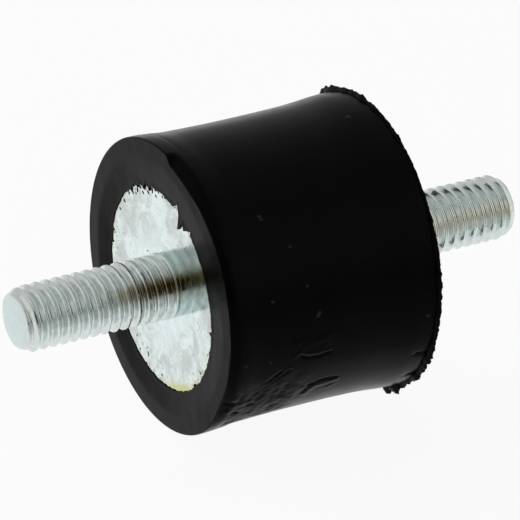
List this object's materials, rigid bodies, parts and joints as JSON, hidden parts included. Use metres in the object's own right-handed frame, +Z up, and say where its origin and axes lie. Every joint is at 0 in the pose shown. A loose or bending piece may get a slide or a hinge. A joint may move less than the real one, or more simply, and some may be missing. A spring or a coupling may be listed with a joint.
{
  "type": "bobbin vibration mount",
  "caption": "Waisted rubber bobbin bonded round a steel plate at each end, with a threaded stud standing out of each plate.",
  "frame": {"origin": "on the axis of the studs, at the middle of the rubber body", "axes": "+X along the axis towards the rear stud, +Z up, +Y completes a right-handed frame"},
  "size_m": [0.0496, 0.0274, 0.0278],
  "materials": {
    "rubber": "moulded natural rubber, matt with a soft sheen, scuffed",
    "plate_steel": "satin zinc plate",
    "stud_steel": "bright zinc plate with a faint yellow tint"
  },
  "bodies": {
    "root": {"rubber_body": "rubber", "front_plate": "plate_steel", "front_stud": "stud_steel", "rear_plate": "plate_steel", "rear_stud": "stud_steel"}
  },
  "joints": []
}
